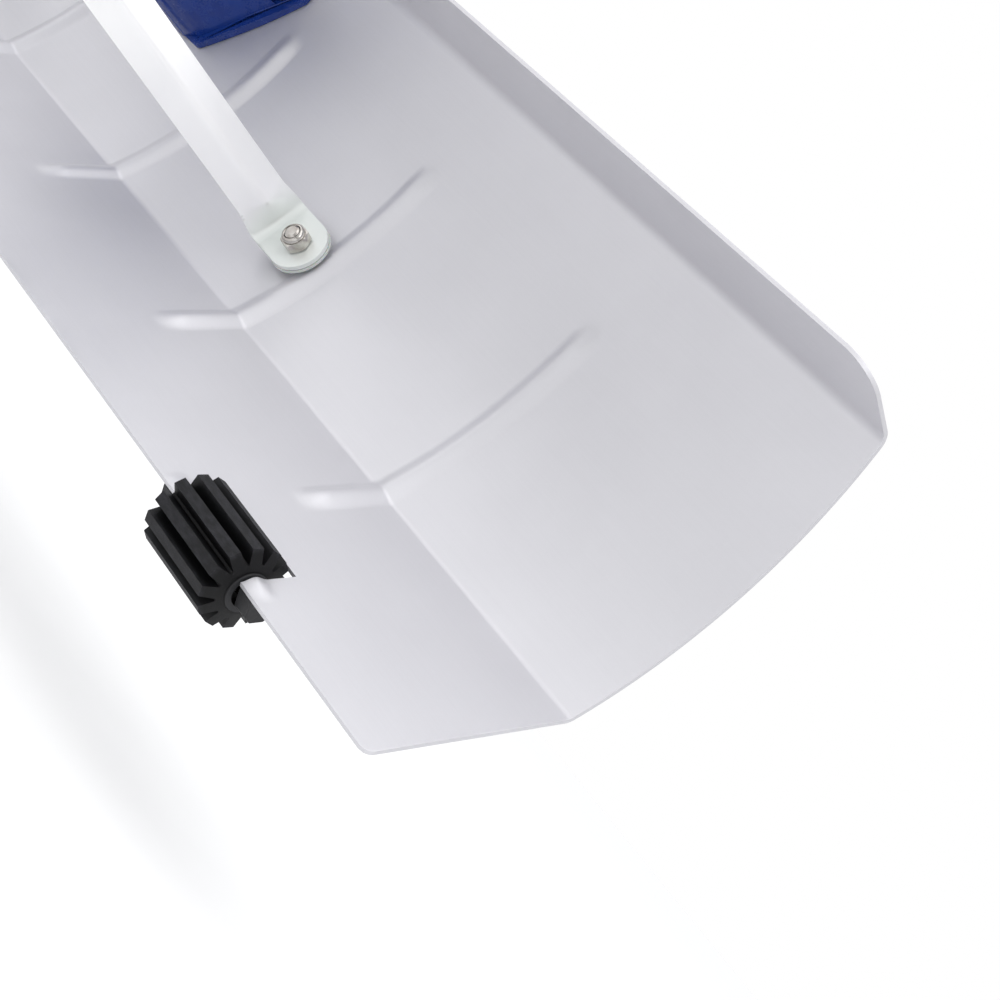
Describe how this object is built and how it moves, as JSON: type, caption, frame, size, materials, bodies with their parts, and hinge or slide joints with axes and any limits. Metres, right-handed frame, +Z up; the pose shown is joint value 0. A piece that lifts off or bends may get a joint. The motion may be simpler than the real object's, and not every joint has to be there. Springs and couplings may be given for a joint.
{
  "type": "snow roof rake",
  "caption": "Sheet-metal snow rake head on ribbed rollers, braced to a telescoping pole with a flip lock, for pulling snow off a roof.",
  "frame": {"origin": "middle of the whole rake's bounding box, on the floor that its rollers and pole end rest on", "axes": "+Y from the pole's grip end towards the blade, +Z up, +X along the blade"},
  "size_m": [0.635, 1.5242, 0.1646],
  "materials": {
    "satin_aluminium": "satin sheet, blasted and clear anodised",
    "bright_aluminium": "bright rolled strip",
    "tube_aluminium": "drawn tube, satin anodised",
    "stainless_steel": "stainless fasteners and pins",
    "roller_rubber": "matt black moulded rubber",
    "grip_rubber": "matt black soft sleeve",
    "black_plastic": "black moulded nylon",
    "blue_plastic": "blue moulded plastic, light gloss",
    "clear_nylon": "natural nylon, milky"
  },
  "bodies": {
    "head": {"axle_holder_left_inner": "black_plastic", "axle_holder_left_outer": "black_plastic", "axle_holder_right_inner": "black_plastic", "axle_holder_right_outer": "black_plastic", "blade": "satin_aluminium", "brace_blade_bolt_left": "stainless_steel", "brace_blade_bolt_right": "stainless_steel", "brace_blade_nut_left": "stainless_steel", "brace_blade_nut_right": "stainless_steel", "brace_bush_left": "clear_nylon", "brace_bush_right": "clear_nylon", "brace_left": "bright_aluminium", "brace_pole_bolt": "stainless_steel", "brace_pole_nut": "stainless_steel", "brace_right": "bright_aluminium", "bracket_bolt_left": "stainless_steel", "bracket_bolt_right": "stainless_steel", "bracket_nut_left": "stainless_steel", "bracket_nut_right": "stainless_steel", "bracket_washer_left": "stainless_steel", "bracket_washer_right": "stainless_steel", "head_bracket": "blue_plastic", "lever_pin": "stainless_steel", "lock_collar": "black_plastic", "lock_nut": "stainless_steel", "lock_screw": "stainless_steel", "outer_pole": "tube_aluminium", "roller_axle_left": "stainless_steel", "roller_axle_right": "stainless_steel", "socket_bolt": "stainless_steel", "socket_nut": "stainless_steel"},
    "inner_pole": {"end_cap": "black_plastic", "grip": "grip_rubber", "inner_pole": "tube_aluminium", "inner_pole_bush": "black_plastic"},
    "roller_left": {"roller_left": "roller_rubber"},
    "roller_right": {"roller_right": "roller_rubber"},
    "lock_lever": {"lock_lever": "blue_plastic"}
  },
  "joints": [
    {"name": "roller_left_spin", "type": "hinge", "parent": "head", "child": "roller_left", "pos_m": [-0.2346, 0.71269, 0.01278], "axis": [1, 0, 0], "continuous": true},
    {"name": "roller_right_spin", "type": "hinge", "parent": "head", "child": "roller_right", "pos_m": [0.2346, 0.71269, 0.01278], "axis": [1, 0, 0], "continuous": true},
    {"name": "pole_slide", "type": "slide", "parent": "head", "child": "inner_pole", "axis": [0, -0.9977, -0.0676], "range_m": [0, 0.7]},
    {"name": "lock_lever_flip", "type": "hinge", "parent": "head", "child": "lock_lever", "pos_m": [0.015, -0.54311, 0.05626], "axis": [0, -0.9977, -0.0676], "range_deg": [0, 120]}
  ]
}
